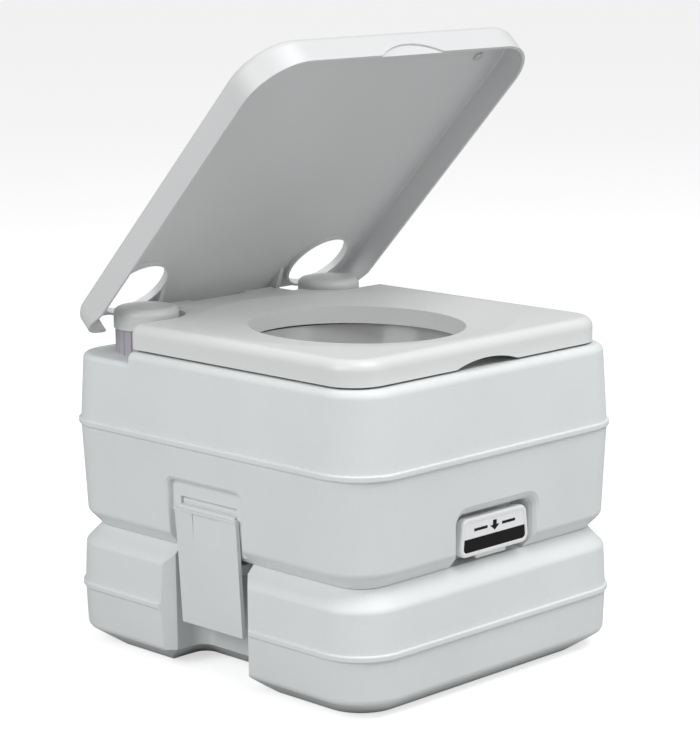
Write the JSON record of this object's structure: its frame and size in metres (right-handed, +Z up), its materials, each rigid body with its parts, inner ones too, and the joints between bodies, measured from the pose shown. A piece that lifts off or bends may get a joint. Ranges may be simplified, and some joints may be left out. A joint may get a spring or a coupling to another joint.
{
  "type": "portable camp toilet",
  "caption": "Two-tank portable flushing toilet with hinged seat and lid, slide valve, bellows pump, side latches and a swivelling pour spout.",
  "frame": {"origin": "on the floor under the middle of the tanks", "axes": "+Z up, -Y towards the front with the pull handle, +X to the side with the fill cap"},
  "size_m": [0.3674, 0.4124, 0.5931],
  "materials": {
    "tank_plastic": "fine grain, light warm grey polyethylene",
    "seat_plastic": "smooth satin, light grey",
    "cap_plastic": "smooth satin, light grey",
    "collar_plastic": "satin, lilac grey",
    "bowl_plastic": "smooth, light grey",
    "inner_plastic": "moulded, natural white",
    "spout_plastic": "satin, light grey",
    "handle_plastic": "smooth, white",
    "label": "printed film, white over black",
    "rubber": "soft matte black",
    "hose": "soft translucent grey",
    "steel": "stainless"
  },
  "bodies": {
    "waste_tank": {"waste_tank": "tank_plastic", "inlet_gasket": "rubber", "valve_base": "inner_plastic", "valve_cover": "inner_plastic", "valve_screws": "steel", "valve_lip_seal": "rubber", "spout_collar": "inner_plastic"},
    "valve_slide": {"valve_blade": "inner_plastic", "valve_stem": "inner_plastic", "pull_handle": "handle_plastic", "handle_label": "label"},
    "pour_spout": {"pour_spout": "spout_plastic"},
    "spout_cap": {"spout_cap": "spout_plastic", "spout_cap_seal": "rubber"},
    "flush_tank": {"flush_tank": "tank_plastic", "bowl": "bowl_plastic", "bowl_gasket": "rubber", "pump_collar": "collar_plastic", "pump_body": "inner_plastic", "pump_bellows": "rubber", "dip_tube": "inner_plastic", "pump_check_ball": "steel", "flush_hose": "hose", "flush_nozzle": "inner_plastic", "fill_neck": "collar_plastic", "hinge_bracket_left": "seat_plastic", "hinge_bracket_right": "seat_plastic", "hinge_screws": "steel", "hinge_pin_left": "steel", "hinge_pin_right": "steel", "latch_pin_left": "steel", "latch_pin_right": "steel"},
    "pump_cap": {"pump_cap": "cap_plastic"},
    "fill_cap": {"fill_cap": "collar_plastic", "fill_gasket": "rubber"},
    "latch_left": {"latch_left": "tank_plastic"},
    "latch_right": {"latch_right": "tank_plastic"},
    "seat": {"seat": "seat_plastic", "seat_bumpers": "rubber"},
    "lid": {"lid": "seat_plastic", "lid_bumpers": "rubber"}
  },
  "joints": [
    {"name": "tank_lift", "type": "slide", "parent": "waste_tank", "child": "flush_tank", "axis": [0, 0, 1], "range_m": [0, 0.2]},
    {"name": "valve_pull", "type": "slide", "parent": "waste_tank", "child": "valve_slide", "axis": [0, -1, 0], "range_m": [0, 0.092]},
    {"name": "spout_swing", "type": "hinge", "parent": "waste_tank", "child": "pour_spout", "pos_m": [-0.06, 0.165, 0], "axis": [0, 0, 1], "range_deg": [0, 100]},
    {"name": "spout_cap_turn", "type": "hinge", "parent": "pour_spout", "child": "spout_cap", "pos_m": [0.075, 0.165, 0.08], "axis": [1, 0, 0], "continuous": true},
    {"name": "pump_press", "type": "slide", "parent": "flush_tank", "child": "pump_cap", "axis": [0, 0, -1], "range_m": [0, 0.01], "stiffness_N_per_m": 400, "springref_m": -0.004, "deforming": ["pump_bellows"]},
    {"name": "fill_cap_turn", "type": "hinge", "parent": "flush_tank", "child": "fill_cap", "pos_m": [0.123, 0.1425, 0.32], "axis": [0, 0, 1], "continuous": true},
    {"name": "latch_left_swing", "type": "hinge", "parent": "flush_tank", "child": "latch_left", "pos_m": [-0.166, 0.002, 0.1655], "axis": [0, 1, 0], "range_deg": [-2.5, 50]},
    {"name": "latch_right_swing", "type": "hinge", "parent": "flush_tank", "child": "latch_right", "pos_m": [0.166, 0.002, 0.1655], "axis": [0, -1, 0], "range_deg": [-2.5, 50]},
    {"name": "seat_lift", "type": "hinge", "parent": "flush_tank", "child": "seat", "pos_m": [0, 0.1783, 0.316], "axis": [-1, 0, 0], "range_deg": [0, 45]},
    {"name": "lid_lift", "type": "hinge", "parent": "flush_tank", "child": "lid", "pos_m": [0, 0.1783, 0.316], "axis": [-1, 0, 0], "range_deg": [-46, 50]}
  ]
}
